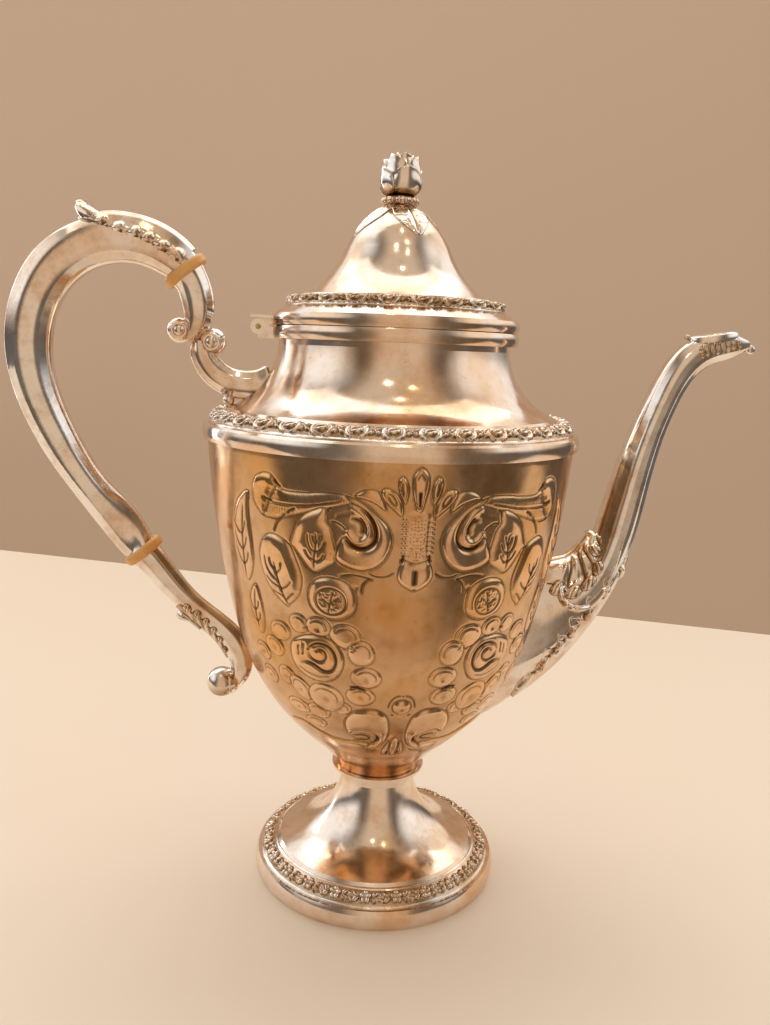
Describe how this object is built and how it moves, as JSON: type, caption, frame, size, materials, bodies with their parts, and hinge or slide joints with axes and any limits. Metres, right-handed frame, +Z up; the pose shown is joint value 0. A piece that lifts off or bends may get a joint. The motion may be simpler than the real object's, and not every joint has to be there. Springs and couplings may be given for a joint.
{
  "type": "coffee pot",
  "caption": "Vase-shaped silver coffee pot on a turned foot, with a hinged domed lid and bud finial, a panelled swan-neck spout and a scroll handle with insulating rings.",
  "frame": {"origin": "on the pot's axis, in the plane of the table that the foot rim stands on", "axes": "+Z up along the pot's axis, +X towards the spout, handle towards -X"},
  "size_m": [0.2565, 0.128, 0.254],
  "materials": {
    "silver": "polished aged silver with fine wear scratches",
    "silver_ornament": "polished silver relief with dark oxidised recesses",
    "insulator": "satin cream to tan, bone-like",
    "brass": "plain turned brass"
  },
  "bodies": {
    "pot": {"foot_rim": "silver", "foot": "silver", "foot_garland": "silver_ornament", "stem_collar": "silver", "bowl": "silver", "spout_strainer": "silver", "shoulder_moulding": "silver", "shoulder_garland": "silver_ornament", "neck": "silver", "neck_rim": "silver", "spout": "silver", "spout_lip": "silver_ornament", "spout_beak": "silver_ornament", "spout_crest_leaf": "silver_ornament", "spout_keel_leaf": "silver_ornament", "neck_scroll": "silver", "handle_drop": "silver", "upper_socket": "silver", "upper_insulator": "insulator", "handle_grip": "silver", "thumb_leaf": "silver_ornament", "lower_insulator": "insulator", "lower_socket": "silver", "lower_leaf": "silver_ornament", "upper_socket_pin": "silver", "upper_grip_pin": "silver", "lower_socket_pin": "silver", "lower_grip_pin": "silver", "hinge_fixed_leaf": "silver", "hinge_pin": "brass"},
    "lid": {"lid_rim": "silver", "lid_bezel": "silver", "lid_garland": "silver_ornament", "lid_dome": "silver", "hinge_lid_leaf": "silver", "finial_leaves": "silver_ornament", "finial_collar": "silver_ornament", "finial_bud": "silver_ornament", "finial_washer": "brass", "finial_nut": "brass"}
  },
  "joints": [
    {"name": "lid_hinge", "type": "hinge", "parent": "pot", "child": "lid", "pos_m": [-0.0459, 0, 0.1958], "axis": [0, -1, 0], "range_deg": [0, 86]}
  ]
}
